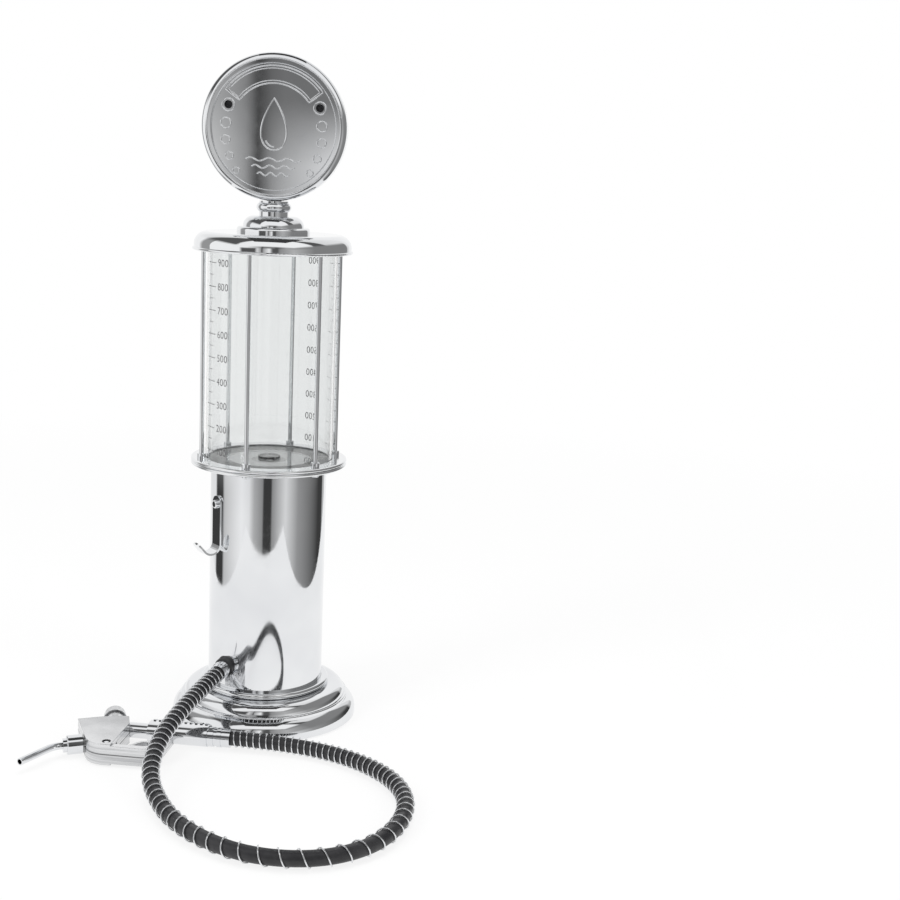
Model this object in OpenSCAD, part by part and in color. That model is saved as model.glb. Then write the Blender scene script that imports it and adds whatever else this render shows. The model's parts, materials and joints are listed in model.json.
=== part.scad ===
// Table-top drink dispenser in the shape of an old fuel pump.
// A clear tank stands on a chromed column, a round sign on the lift-off lid closes it,
// and a trigger nozzle on a wire-wound hose lies in front of the base.
// The frame has +Z up, its origin on the table under the column, and the sign faces -Y.

/* [Base] */
// Diameter of the base at its rim
base_d = 135; // [128:1:150]
// Height of the base's lower step above the table
lower_h = 14.5; // [13:0.5:18]
// Rounding of the lower step's shoulder
lower_round = 11; // [7:0.5:12]
// Diameter of the base's upper step
upper_d = 119; // [112:1:120]
// Height of the base's upper step, where the column stands
upper_h = 24; // [22:0.5:30]
// Rounding of the upper step's shoulder
upper_round = 8.5; // [5:0.5:9]
// Diameter of the thin lip between the two steps
lip_d = 122.5; // [121:0.5:124]
// Height of the thin lip
lip_h = 1.8; // [1:0.2:3]
// Sheet thickness of the base
base_wall = 1.6; // [1.2:0.1:2]
// Width of the rim that is turned in under the base
rim_w = 9; // [8:0.5:12]
// Diameter of one clear foot
foot_d = 6; // [4:0.5:7]
// Height of one clear foot
foot_h = 1; // [0.8:0.1:1.5]
// Number of clear feet
foot_n = 6; // [3:1:10]
// Diameter of the black pad under the column
pad_d = 75; // [66:1:80]
// Thickness of the black pad
pad_t = 2; // [1.5:0.5:3]

/* [Column] */
// Outer diameter of the column
column_d = 83.6; // [82:0.2:86]
// Wall thickness of the column
column_wall = 1.2; // [1:0.1:2]
// Height of the column
column_h = 163; // [150:1:180]
// Width of the column's turned-in foot
column_lip = 10; // [8:0.5:14]
// Outer diameter of the bead around the column's foot
bead_d = 94; // [91:0.5:96]
// Height of the bead around the column's foot
bead_h = 4.6; // [3:0.2:6]

/* [Tank] */
// Outer diameter of the clear tank
tank_d = 91.4; // [88:0.2:92]
// Wall thickness of the tank
tank_wall = 1.8; // [1.5:0.1:3]
// Thickness of the tank's floor
tank_floor = 1.8; // [1.5:0.1:3]
// Height of the tank
tank_h = 151.2; // [140:0.2:170]
// Thickness of the tank's two flat gaskets
gasket_t = 1; // [0.8:0.1:1.5]

/* [Tank seat and rods] */
// How far the rolled ring under the tank reaches past the rods' middle
seat_reach = 7.1; // [7:0.1:9]
// Height of the rolled ring
seat_h = 5; // [4:0.5:8]
// How far the collar under the rolled ring reaches past the column
step_reach = 2.7; // [1.5:0.1:3.5]
// Thickness of the plate under the tank
seat_web = 1.2; // [1:0.2:2]
// Height of the collar under the rolled ring
seat_drop = 2; // [1.5:0.5:3]
// Diameter of one tie rod
rod_d = 3.2; // [3:0.2:4]
// Gap between tank and rods
rod_gap = 1.6; // [1:0.1:2]
// Turn of the first rod from the front
rod_turn = -12; // [-17:1:-7]

/* [Cap] */
// How far the domed cap reaches past the rods' middle
cap_reach = 6.5; // [6:0.1:8]
// Roll of the cap's rim
rim_roll = 1.1; // [0.6:0.1:1.6]
// Height of the cap above its rim
cap_h = 13; // [12:0.5:16]
// Rounding of the cap's shoulder
cap_round = 9; // [6:0.5:10]
// Sheet thickness of the cap
cap_wall = 1.4; // [1:0.1:1.6]
// Diameter of the filler hole
filler_d = 36; // [32:1:40]
// Thickness of the ring plate inside the cap
plate_t = 3; // [2:0.5:4]

/* [Lid] */
// Diameter of the lid's flange
lid_flange_d = 51.4; // [48:0.2:56]
// Height of the lid's flange
lid_flange_h = 4.2; // [3:0.2:6]
// Diameter of the lid's dome
lid_dome_d = 43; // [40:0.5:46]
// Height of the lid's dome
lid_dome_h = 7.6; // [6:0.2:9]
// Diameter of the neck under the sign
neck_d = 20.6; // [18:0.2:22]
// Height of the neck under the sign
neck_h = 10.4; // [9:0.2:14]
// Diameter of the bulged collar on the neck
neck_bead_d = 24.4; // [23:0.2:27]
// Depth of the lid's plug in the filler hole
plug_h = 10; // [8.5:0.5:11]

/* [Sign] */
// Diameter of the sign
sign_d = 100.6; // [92:0.2:110]
// Thickness of the sign
sign_t = 22; // [20:0.5:26]
// Width of the raised rim around the sign's face
bezel_w = 6.6; // [5:0.2:8]
// Depth of the sign's face below its rim
face_drop = 1.2; // [0.8:0.1:2]
// Wall thickness of the sign
sign_wall = 2.2; // [1.8:0.1:3]
// Sideways place of the sign's two screws
sign_screw_x = 31.5; // [28:0.5:33]
// Height of the sign's screws above its middle
sign_screw_z = 14; // [8:0.5:16]

/* [Hook] */
// Turn of the hook from the front
hook_turn = -51; // [-58:1:-48]
// Height of the hook's upper end above the table
hook_z = 169; // [150:1:172]
// Width of the hook's strip
hook_w = 10.4; // [8:0.2:12]
// Thickness of the hook's strip
hook_t = 1.4; // [1:0.1:2]
// Length of the hook's straight back
hook_l = 34.5; // [25:0.5:40]
// Inner radius of the hook's bend
hook_bend = 6.2; // [5:0.2:9]
// Length of the hook's tongue
tongue_l = 8.5; // [8:0.5:14]

/* [Hose] */
// Outer diameter of the hose
hose_d = 9.8; // [9:0.2:10]
// Bore of the hose
hose_bore = 7; // [6:0.2:7.4]
// Turn of the hose's outlet from the front
outlet_turn = -36; // [-40:1:-33]
// Height of the hose's outlet above the table
outlet_z = 45; // [43:0.5:48]
// Turn of the hose from the front where it leaves the outlet
leave_turn = -20; // [-24:1:-18]
// Slope of the hose where it leaves the outlet
leave_slope = 10; // [6:1:12]
// Wire of the spring around the hose
wire_d = 1; // [0.8:0.1:1.2]
// Room between hose and spring
wire_gap = 0.4; // [0.4:0.1:0.6]
// Number of curls of the spring
curls = 82; // [40:1:84]
// How much closer the curls stand at the ends than at the middle
crowding = 0.475; // [0:0.025:0.5]

/* [Nozzle] */
// Thickness of the nozzle's body
body_t = 14.8; // [14.6:0.2:16]
// Thickness of the trigger guard
guard_t = 12.6; // [10:0.2:14]
// Width of the trigger guard's bar
guard_w = 5; // [4:0.5:6]
// Diameter of the valve cap
valve_cap_d = 15.4; // [14:0.2:16]
// Bore of the valve
valve_bore = 11.2; // [10:0.2:12]
// Travel of the valve stem
valve_travel = 1.6; // [1:0.1:2]
// Diameter of the handle
handle_d = 14.4; // [13:0.2:15]
// Depth of the handle behind its round part
handle_back = 2.8; // [2:0.2:4]
// Number of ribs on the grip
rib_n = 11; // [6:1:12]
// Width of the trigger
trigger_w = 7; // [5:0.2:7.2]
// Thickness of the trigger
trigger_t = 2; // [1.6:0.1:2.4]
// Outer diameter of the spout
spout_d = 5; // [4:0.2:6]
// Bore of the spout
spout_bore = 3.6; // [2.6:0.2:3.8]
// Diameter of the spout's collar
spout_collar_d = 13.2; // [12:0.2:14]
// Length of the spout after its bend
spout_l = 26; // [20:1:40]

/* [Hidden] */
$fn = 96;

// Colours
chrome = [0.80, 0.81, 0.83];
satin = [0.72, 0.73, 0.75];
black = [0.06, 0.06, 0.07];
clear = [0.86, 0.90, 0.93, 0.35];

// Clearances: a close fit, a loose fit, and a cutter's reach past a face
fit = 0.1;
loose = 0.3;
past = 1;

// Base
base_r = base_d / 2;
upper_r = upper_d / 2;
lip_r = lip_d / 2;
rim_t = 1.2;
foot_circle = base_r - rim_w / 2 - base_wall / 2;
access_d = 40;
base_screw_n = 4;
base_screw_d = 3;
base_screw_head = 5.6;
base_screw_l = 7;

// Column
column_r = column_d / 2;
column_in = column_r - column_wall;
column_lip_t = 1.5;
column_top = upper_h + column_h;
base_screw_circle = column_in - column_lip / 2;

// Circle of the tie rods around the tank
tank_r = tank_d / 2;
rod_n = 6;
rod_r = tank_r + rod_gap + rod_d / 2;

// Tank seat
seat_r = rod_r + seat_reach;
step_r = column_r + step_reach;
ring_z = column_top + seat_drop;
web_top = ring_z + seat_web;
ring_top = ring_z + seat_h;
roll_r = seat_h / 4;
spigot_h = 7;
spigot_t = 2.4;
web_hole_d = 26;

// Tank and its rods
tank_z = web_top + gasket_t;
tank_top = tank_z + tank_h;
rod_foot_d = 2 * (rod_r - tank_r - fit);
rod_foot_h = 3;
rod_thread = 2.4;
screw_bite = 8;
pan_d = 6;
pan_h = 2.2;
nut_d = 6.4;
nut_h = 2.4;

// Cap and ring plate
plate_z = tank_top + gasket_t;
plate_top = plate_z + plate_t;
cap_r = rod_r + cap_reach;
plate_r = cap_r - cap_wall - 1.5;
cap_z = tank_top - 1;
cap_top = cap_z + cap_h;
filler_r = filler_d / 2;
filler_wall = 1.6;

// Lid and sign
lid_z = cap_top;
dome_z = lid_z + lid_flange_h;
neck_z = dome_z + lid_dome_h;
neck_top = neck_z + neck_h;
plug_r = filler_r - 0.6;
plug_wall = 2.6;
seal_d = 2;
seal_r = filler_r - fit - seal_d / 2;
seal_z = lid_z - plug_h / 2;
stub_d = 11;
stub_h = 14;
sign_r = sign_d / 2;
sign_z = neck_top + fit + sign_r;
edge_round = 4;
seam = 0.15;
cradle_w = 18;
cradle_h = 11;
boss_d = 7.6;
sign_head_d = 5.4;
sign_head_h = 2;
sign_head_depth = 3;
sign_head_z = sign_t / 2 - face_drop - sign_head_depth - sign_head_h;
sign_shank_d = 2.8;

// Hook
hook_r = column_r + 0.02;
hook_screw_drop = 6;
hook_screw_d = 3;

// Hose outlet
hole_d = 12;
grommet_d = 14;
grommet_t = 4;
grommet_in = 7.6;
ferrule_d = 13;
outlet_ferrule_d = 11.8;
ferrule_l = 8;
outlet_l = grommet_t + ferrule_l;
leave = [sin(leave_turn) * cos(leave_slope), -cos(leave_turn) * cos(leave_slope), -sin(leave_slope)];

// Tank outlet and the hose inside the column
barb_flange_d = 16;
barb_flange_t = 1.6;
barb_d = 9.8;
barb_stem_l = 8;
barb_l = 14;
outlet_nut_d = 18;
outlet_nut_h = 4;
barb_end = tank_z - barb_stem_l - barb_l;
turn_r = 30;

// Nozzle, in its own frame: x from the hose to the spout, y to the trigger guard, z up
nozzle_at = [-13.3, -79.5];
nozzle_turn = 173.5;
half_t = body_t / 2;
valve_collar_d = 16.8;
nozzle_z = valve_collar_d / 2;
valve_at = [83.1, 0];
valve_lean = 20;
barrel_end = 14.5;
valve_collar_h = 2.5;
valve_cap_h = 8;
chamber_end = -14;
piston_t = 3;
piston_z = chamber_end + 1;
stem_d = 3.4;
stem_tip_y = 33.7;
stem_tip = -stem_tip_y / cos(valve_lean);
valve_plug = 2.5;
valve_wire = 0.8;
valve_turns = 7;
pivot = [75.5, 39.8];
pin_d = 3;
hub_d = 6.6;
pin_head_d = 5.8;
pin_head_h = 1.8;
pin_recess = 2.4;
slot = [[70, 31.5], [77, 41]];
slot_depth = trigger_w / 2 + loose;
wrist_d = 10.8;
body_back = 71;
body_top = 45.4;
body_low = wrist_d / 2 + past;
shoulder = 9.5;
body_nose = [108.1, 5.7];
body_knee = [93, -2];
body_foot = [79, -body_low];
front_round = 17;
front_corner = [76.4, body_top - front_round];
guard_back = 40;
guard_turn = 11;
handle_start = 16;
grip_end = 58.4;
grip_rib = 0.7;
rib_w = 1.7;
tenon_d = 9.2;
tenon_end = body_back + 4.5;
ferrule_end = 5.6;
handle_collar_d = 13.6;
spout_at = [95, 30];
spout_turn = 28;
spout_bend = 40;
spout_bend_r = 14;
spout_boss_d = 12;
spout_boss = 1.2;
collar_l = 10.2;
collar_step = 2.6;
collar_step_d = 9.6;
spout_in = 7;
spout_straight = 1;

// Trigger, from its pivot to its tip
trigger_path = [
    [75.5, 39.8], [70, 35.6], [64.5, 36.4], [60.4, 34], [57.6, 29.6],
    [54.6, 26.6], [51.4, 26], [48.6, 27.4]
];

// Free hose, from its outlet to the nozzle, with the middle points chosen by hand
hose_lead = 10;
hose_points = concat(
    [outlet_point(outlet_l), outlet_point(outlet_l + hose_lead)],
    [
        [-36.5, -67, 38.9], [-41.5, -82, 36], [-46.8, -98.5, 32.2], [-51.6, -114.5, 27.6],
        [-54.4, -131, 22.4], [-54.9, -147, 17.3], [-52.3, -162, 12.8], [-46, -178, 9.4],
        [-34.5, -199, 7.3], [-20.8, -216.3, 6.7], [-5, -231, 6.6],
        [12, -242, 6.6], [28.5, -248, 6.6], [46, -250, 6.6], [63.5, -247.5, 6.6],
        [79.5, -240, 6.6], [93.5, -227.5, 6.6], [104, -210, 6.6], [110, -189, 6.6],
        [111, -168.5, 6.6], [107, -149, 6.6], [98, -130.5, 6.6], [84.5, -114, 6.6],
        [68, -100.5, 6.6], [50, -91, 6.7], [32, -85.5, 7.1], [14.5, -82.8, 7.8]
    ],
    [nozzle_point(-hose_lead), nozzle_point(0)]
);
coil_r = hose_d / 2 + wire_gap + wire_d / 2;

// Point on the outlet's axis at a distance from the column's outside
function outlet_point(s) =
    [column_r * sin(outlet_turn), -column_r * cos(outlet_turn), outlet_z] + s * leave;

// Point on the handle's axis at a distance from the nozzle's hose end
function nozzle_point(x) =
    [nozzle_at.x + x * cos(nozzle_turn), nozzle_at.y + x * sin(nozzle_turn), nozzle_z];

function unit(v) = v / norm(v);

// Points of an arc, from one angle to another
function arc(centre, r, from, to, steps) =
    [for (i = [0 : steps]) let (a = from + (to - from) * i / steps) centre + r * [cos(a), sin(a)]];

// Smooth curve through points, with a number of steps between two of them
function curve_point(a, b, c, d, t) =
    (2 * b + (c - a) * t + (2 * a - 5 * b + 4 * c - d) * t * t + (3 * b - a - 3 * c + d) * t * t * t) / 2;
function smooth(p, steps) = concat(
    [for (i = [0 : len(p) - 2], k = [0 : steps - 1])
        curve_point(i > 0 ? p[i - 1] : 2 * p[0] - p[1], p[i], p[i + 1],
            i + 2 < len(p) ? p[i + 2] : 2 * p[i + 1] - p[i], k / steps)],
    [p[len(p) - 1]]
);

// Direction of a path at each of its points
function directions(p) =
    [for (i = [0 : len(p) - 1]) unit(p[min(i + 1, len(p) - 1)] - p[max(i - 1, 0)])];

// Sideways directions along a path that don't twist about it
function sides(t) =
    [for (i = 0, n = unit(cross(t[0], abs(t[0].z) > 0.9 ? [1, 0, 0] : [0, 0, 1])); i < len(t);
        i = i + 1, n = i < len(t) ? unit(n - (n * t[i]) * t[i]) : n) n];

// Length along a path up to each of its points
function lengths(p) =
    [for (i = 0, s = 0; i < len(p); i = i + 1, s = i < len(p) ? s + norm(p[i] - p[i - 1]) : s) s];

// Outline of a flat strip along a path
function strip(p, t) = let (
    d = directions(p),
    n = [for (v = d) [-v.y, v.x] * t / 2]
) concat([for (i = [0 : len(p) - 1]) p[i] + n[i]], [for (i = [len(p) - 1 : -1 : 0]) p[i] - n[i]]);

// Solid tube along a path, with one sideways direction for each of its rings
module tube(p, t, n, r, faces) {
    rings = len(p);
    last = (rings - 1) * faces;
    points = [for (i = [0 : rings - 1], k = [0 : faces - 1])
        let (a = 360 * k / faces) p[i] + r * (cos(a) * n[i] + sin(a) * cross(t[i], n[i]))];
    walls = [for (i = [0 : rings - 2], k = [0 : faces - 1], half = [0, 1])
        let (a = i * faces + k, b = i * faces + (k + 1) % faces)
        half == 0 ? [a, a + faces, b] : [b, a + faces, b + faces]];
    ends = [for (k = [1 : faces - 2], side = [0, 1])
        side == 0 ? [0, k, k + 1] : [last, last + k + 1, last + k]];
    polyhedron(points, concat(walls, ends));
}

// Round disc whose upper edge is rounded
module tier(r, from, to, edge) {
    rotate_extrude() intersection() {
        translate([0, from]) square([r, to - from]);
        union() {
            translate([0, from]) square([r - edge, to - from]);
            translate([0, from]) square([r, max(to - edge - from, 0.01)]);
            translate([r - edge, to - edge]) circle(edge);
        }
    }
}

// Flat ring between two radii and two heights
module ring(inner, outer, from, to) {
    rotate_extrude() translate([inner, from]) square([outer - inner, to - from]);
}

// Places things on the column's side: local z points outward, local y up
module radial(turn, z) {
    rotate([0, 0, turn]) translate([0, 0, z]) rotate([90, 0, 0]) children();
}

// Places things on the outlet's axis: local z points out along the hose
module at_outlet() {
    translate(outlet_point(0)) rotate([0, 0, leave_turn]) rotate([90 + leave_slope, 0, 0]) children();
}

// Copies things evenly around the column's axis
module around(n, r, turn = 0) {
    for (i = [0 : n - 1]) rotate([0, 0, turn + 360 * i / n]) translate([0, -r, 0]) children();
}

module base_shell() color(chrome) difference() {
    union() {
        tier(base_r, foot_h, lower_h, lower_round);
        tier(lip_r, lower_h - base_wall, lower_h + lip_h, lip_h / 2);
        tier(upper_r, lower_h - base_wall, upper_h, upper_round);
    }
    tier(base_r - base_wall, foot_h + rim_t, lower_h - base_wall, lower_round - base_wall);
    tier(upper_r - base_wall, foot_h + rim_t, upper_h - base_wall, upper_round - base_wall);
    cylinder(r = base_r - rim_w, h = lower_h - base_wall);
    cylinder(d = access_d, h = upper_h + past);
    around(base_screw_n, base_screw_circle, 45) {
        translate([0, 0, lower_h]) cylinder(d = base_screw_d + 2 * fit, h = upper_h);
        translate([0, 0, upper_h - base_wall]) base_screw_cone(2 * fit);
    }
}

module base_feet() color(clear) around(foot_n, foot_circle) cylinder(d = foot_d, h = foot_h);

module base_pad() color(black) translate([0, 0, upper_h - base_wall - pad_t])
    cylinder(d = pad_d, h = pad_t);

module base_screw_cone(extra) {
    taper = base_screw_head - base_screw_d;
    cylinder(d1 = base_screw_head + extra, d2 = base_screw_d + extra, h = taper / 2);
}

module base_screws() color(chrome) around(base_screw_n, base_screw_circle, 45) {
    translate([0, 0, upper_h - base_wall]) {
        base_screw_cone(0);
        cylinder(d = base_screw_d, h = base_screw_l);
    }
}

module foot_bead() color(chrome) rotate_extrude() {
    translate([column_r + fit, upper_h]) square([bead_d / 2 - bead_h / 2 - column_r - fit, bead_h]);
    translate([bead_d / 2 - bead_h / 2, upper_h + bead_h / 2]) circle(bead_h / 2);
}

module column() color(chrome) difference() {
    union() {
        ring(column_in, column_r, upper_h, column_top);
        ring(column_in - column_lip, column_r, upper_h, upper_h + column_lip_t);
    }
    around(base_screw_n, base_screw_circle, 45)
        cylinder(d = base_screw_d + 2 * fit, h = upper_h + 2 * column_lip_t);
    at_outlet() cylinder(d = hole_d, h = column_r, center = true);
    radial(hook_turn, hook_z - hook_screw_drop) cylinder(d = hook_screw_d + 2 * fit, h = column_d);
}

module seat_ring() color(chrome) difference() {
    rotate_extrude() {
        translate([web_hole_d / 2, column_top]) square([step_r - web_hole_d / 2, web_top - column_top]);
        translate([column_r, ring_z]) square([rod_r - column_r, seat_web]);
        translate([tank_r + fit, ring_z]) square([seat_r - roll_r - tank_r - fit, seat_h]);
        translate([seat_r - roll_r, ring_z + roll_r]) circle(roll_r);
        translate([seat_r - roll_r, ring_top - roll_r]) circle(roll_r);
        translate([column_in - fit - spigot_t, column_top - spigot_h])
            square([spigot_t, spigot_h + seat_web]);
    }
    around(rod_n, rod_r, rod_turn) translate([0, 0, ring_z - past])
        cylinder(d = rod_thread + 2 * fit, h = seat_h + 2 * past);
}

module rod_screws() color(chrome) around(rod_n, rod_r, rod_turn) {
    translate([0, 0, ring_z]) mirror([0, 0, 1]) tier(pan_d / 2, 0, pan_h, pan_h / 2);
    translate([0, 0, ring_z]) cylinder(d = rod_thread, h = seat_h + screw_bite - past);
}

module tie_rod(i) color(chrome) rotate([0, 0, rod_turn + 360 * (i - 1) / rod_n]) translate([0, -rod_r, 0])
    difference() {
        union() {
            translate([0, 0, ring_top]) cylinder(d = rod_d, h = plate_top + nut_h + past - ring_top);
            translate([0, 0, ring_top]) cylinder(d = rod_foot_d, h = rod_foot_h);
        }
        translate([0, 0, ring_top - past]) cylinder(d = rod_thread + 2 * fit, h = screw_bite + past);
    }

module rod_nuts() color(chrome) around(rod_n, rod_r, rod_turn) translate([0, 0, plate_top]) difference() {
    cylinder(d = nut_d, h = nut_h, $fn = 6);
    translate([0, 0, -past]) cylinder(d = rod_d + 2 * fit, h = nut_h + 2 * past);
}

module tank() color(clear) difference() {
    translate([0, 0, tank_z]) cylinder(r = tank_r, h = tank_h);
    translate([0, 0, tank_z + tank_floor]) cylinder(r = tank_r - tank_wall, h = tank_h);
    translate([0, 0, tank_z - past]) cylinder(d = barb_d + 2 * fit, h = tank_floor + 2 * past);
}

module lower_gasket() color(clear) ring(tank_r * 2 / 3, tank_r - 2 * fit, web_top, tank_z);

module upper_gasket() color(clear) ring(tank_r - 2 * tank_wall, tank_r, tank_top, plate_z);

module top_plate() color(satin) difference() {
    ring(filler_r, plate_r, plate_z, plate_top);
    around(rod_n, rod_r, rod_turn) translate([0, 0, plate_z - past])
        cylinder(d = rod_d + 2 * fit, h = plate_t + 2 * past);
}

module cap() color(chrome) difference() {
    union() {
        difference() {
            union() {
                tier(cap_r, cap_z, cap_top, cap_round);
                rotate_extrude() translate([cap_r, cap_z + rim_roll]) circle(rim_roll);
            }
            tier(cap_r - cap_wall, cap_z - past, cap_top - cap_wall, cap_round - cap_wall);
        }
        ring(filler_r, filler_r + filler_wall, plate_top, cap_top - cap_wall / 2);
    }
    translate([0, 0, cap_z]) cylinder(r = filler_r, h = cap_h + past);
}

module outlet_barb() color(satin) difference() {
    union() {
        translate([0, 0, tank_z + tank_floor]) cylinder(d = barb_flange_d, h = barb_flange_t);
        translate([0, 0, tank_z - barb_stem_l]) cylinder(d = barb_d, h = barb_stem_l + tank_floor);
        translate([0, 0, barb_end]) cylinder(d = hose_bore - 2 * fit, h = barb_l);
    }
    translate([0, 0, barb_end - past])
        cylinder(d = hose_bore - 2, h = barb_l + barb_stem_l + 3 * tank_floor + past);
}

module outlet_nut() color(satin) translate([0, 0, tank_z - outlet_nut_h]) difference() {
    cylinder(d = outlet_nut_d, h = outlet_nut_h, $fn = 6);
    translate([0, 0, -past]) cylinder(d = barb_d + 2 * fit, h = outlet_nut_h + 2 * past);
}

// Path of the hose inside the column: down from the tank, aside, and out along the outlet's axis
function inner_path(over) =
    let (
        ahead = [sin(leave_turn), -cos(leave_turn), 0],
        up = [0, 0, 1],
        hub = outlet_point(-grommet_in) + turn_r * (sin(leave_slope) * ahead + cos(leave_slope) * up),
        low = hub - turn_r * ahead,
        high = barb_end - hose_bore / 2
    )
    concat(
        [[0, 0, tank_z - barb_stem_l + over]],
        [for (k = [0 : 7])
            let (aside = (1 - cos(22.5 * k)) / 2)
            [low.x * aside, low.y * aside, high + (low.z - high) * k / 8]],
        [for (k = [0 : 6])
            let (a = (90 - leave_slope) * k / 6)
            hub - turn_r * (cos(a) * ahead + sin(a) * up)],
        [outlet_point(outlet_l + over)]
    );

module inner_run(d, over) {
    p = inner_path(over);
    t = directions(p);
    tube(p, t, sides(t), d / 2, 10);
}

module inner_hose() color(black) difference() {
    inner_run(hose_d, 0);
    inner_run(hose_bore + 2 * fit, past);
}

module grommet() color(black) difference() {
    at_outlet() tier(grommet_d / 2, -grommet_in, grommet_t, 1);
    difference() {
        ring(column_in - fit / 2, column_r + fit / 2, outlet_z - grommet_d, outlet_z + grommet_d);
        at_outlet() cylinder(d = hole_d - 2 * fit, h = column_r, center = true);
    }
    at_outlet() cylinder(d = hose_d + 2 * fit, h = column_r, center = true);
}

module column_ferrule() color(chrome) at_outlet() difference() {
    union() {
        translate([0, 0, grommet_t]) cylinder(d = outlet_ferrule_d, h = ferrule_l);
        translate([0, 0, grommet_t + ferrule_l / 3]) cylinder(d = outlet_ferrule_d + 0.8, h = ferrule_l / 4);
    }
    translate([0, 0, grommet_t - past]) cylinder(d = hose_d + 2 * fit, h = ferrule_l + 2 * past);
}

// Hook, drawn with x outward from the column's axis and y up
module hook() {
    mid = hook_r + hook_t / 2;
    bend = hook_bend + hook_t / 2;
    low = hook_z - hook_l;
    open = 320;
    lip = [mid + bend + bend * cos(open), low + bend * sin(open)];
    tip = lip + (tongue_l - hook_w / 2) * [-sin(open), cos(open)];
    path = concat([[mid, hook_z - hook_w / 2]], arc([mid + bend, low], bend, 180, open, 12), [tip]);
    color(chrome) rotate([0, 0, hook_turn - 90]) rotate([90, 0, 0]) difference() {
        union() {
            linear_extrude(hook_w, center = true) polygon(strip(path, hook_t));
            translate([mid, hook_z - hook_w / 2, 0]) rotate([0, 90, 0])
                cylinder(d = hook_w, h = hook_t, center = true);
            translate([tip.x, tip.y, 0]) rotate([0, 0, open + 90]) rotate([90, 0, 0])
                cylinder(d = hook_w, h = hook_t, center = true);
        }
        translate([0, hook_z - hook_screw_drop, 0]) rotate([0, 90, 0])
            cylinder(d = hook_screw_d + 2 * fit, h = column_d);
    }
}

module hook_screw() color(chrome) radial(hook_turn, hook_z - hook_screw_drop) {
    tier(pan_d / 2, hook_r + hook_t, hook_r + hook_t + pan_h, pan_h / 2);
    translate([0, 0, column_in - 2 * nut_h])
        cylinder(d = hook_screw_d, h = hook_r + hook_t - column_in + 2 * nut_h);
}

module hook_nut() color(chrome) radial(hook_turn, hook_z - hook_screw_drop) {
    seat = sqrt(column_in * column_in - nut_d * nut_d / 4) - fit / 2;
    translate([0, 0, seat - nut_h]) difference() {
        cylinder(d = nut_d, h = nut_h, $fn = 6);
        translate([0, 0, -past]) cylinder(d = hook_screw_d + 2 * fit, h = nut_h + 2 * past);
    }
}

module lid_foot() color(chrome) difference() {
    union() {
        ring(plug_r - plug_wall, plug_r, lid_z - plug_h, lid_z + lid_flange_h / 2);
        tier(lid_flange_d / 2, lid_z, dome_z, lid_flange_h / 2);
        tier(lid_dome_d / 2, lid_z, neck_z, lid_dome_h - fit);
        rotate_extrude() {
            translate([0, dome_z]) square([neck_d / 2, neck_top - dome_z]);
            translate([0, neck_top]) square([stub_d / 2, stub_h]);
            translate([neck_bead_d / 2 - neck_h / 3, neck_top - neck_h * 0.42]) circle(neck_h / 3);
        }
    }
    ring(seal_r - seal_d / 2, filler_r, seal_z - seal_d / 2 - fit, seal_z + seal_d / 2 + fit);
}

module lid_seal() color(black) rotate_extrude() translate([seal_r, seal_z]) circle(d = seal_d - fit / 2);

// Half of the sign: local z points out of the face, local y up
module sign_half() {
    face = sign_t / 2 - face_drop;
    difference() {
        union() {
            difference() {
                tier(sign_r, seam, sign_t / 2, edge_round);
                tier(sign_r - sign_wall, -past, face - sign_wall, edge_round - sign_wall);
            }
            intersection() {
                tier(sign_r - sign_wall / 2, seam, face, edge_round - sign_wall / 2);
                translate([-cradle_w / 2, -sign_r, seam]) cube([cradle_w, sign_wall + cradle_h, sign_t]);
            }
            for (x = [-1, 1]) translate([x * sign_screw_x, sign_screw_z, seam])
                cylinder(d = boss_d, h = face - sign_wall / 2 - seam);
        }
        translate([0, 0, face]) cylinder(r = sign_r - bezel_w, h = sign_t);
        rotate([90, 0, 0]) cylinder(d = stub_d + 2 * fit, h = sign_d);
    }
}

module sign_front() color(chrome) translate([0, 0, sign_z]) rotate([90, 0, 0]) difference() {
    sign_half();
    for (x = [-1, 1]) translate([x * sign_screw_x, sign_screw_z, 0]) {
        translate([0, 0, -past]) cylinder(d = sign_shank_d + 2 * fit, h = sign_t);
        translate([0, 0, sign_head_z]) cylinder(d = sign_head_d + 2 * fit, h = sign_t);
    }
}

module sign_back() color(chrome) translate([0, 0, sign_z]) rotate([90, 0, 180]) difference() {
    sign_half();
    for (x = [-1, 1]) translate([x * sign_screw_x, sign_screw_z, -past])
        cylinder(d = sign_shank_d + 2 * fit, h = sign_t / 2 - face_drop - sign_wall);
}

module sign_screws() color(black) translate([0, 0, sign_z]) rotate([90, 0, 0])
    for (x = [-1, 1]) translate([x * sign_screw_x, sign_screw_z, sign_head_z]) {
        cylinder(d = sign_head_d, h = sign_head_h);
        mirror([0, 0, 1]) cylinder(d = sign_shank_d, h = sign_t / 2);
    }

// Puts things drawn in the nozzle's own frame where the nozzle lies
module in_nozzle() {
    translate([nozzle_at.x, nozzle_at.y, nozzle_z]) rotate([0, 0, nozzle_turn]) children();
}

// Valve's axis: local z points from the trigger to the valve cap
module on_valve() {
    translate([valve_at.x, valve_at.y, 0]) rotate([0, 0, valve_lean]) rotate([90, 0, 0]) children();
}

// Spout's frame: local x points along its collar
module on_spout() {
    translate([spout_at.x, spout_at.y, 0]) rotate([0, 0, spout_turn]) children();
}

// Flat outline of the nozzle's body: round front corner, rear corner cut along the valve
module body_outline() {
    lead = body_nose - front_corner;
    touch = atan2(lead.y, lead.x) + acos(front_round / norm(lead));
    cut = valve_at.x - shoulder / cos(valve_lean);
    polygon(concat(
        [
            [body_back, (cut - body_back) / tan(valve_lean)],
            [cut + body_low * tan(valve_lean), -body_low],
            body_foot, body_knee, body_nose
        ],
        arc(front_corner, front_round, touch, 90, 12),
        [[body_back, body_top]]
    ));
}

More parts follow.
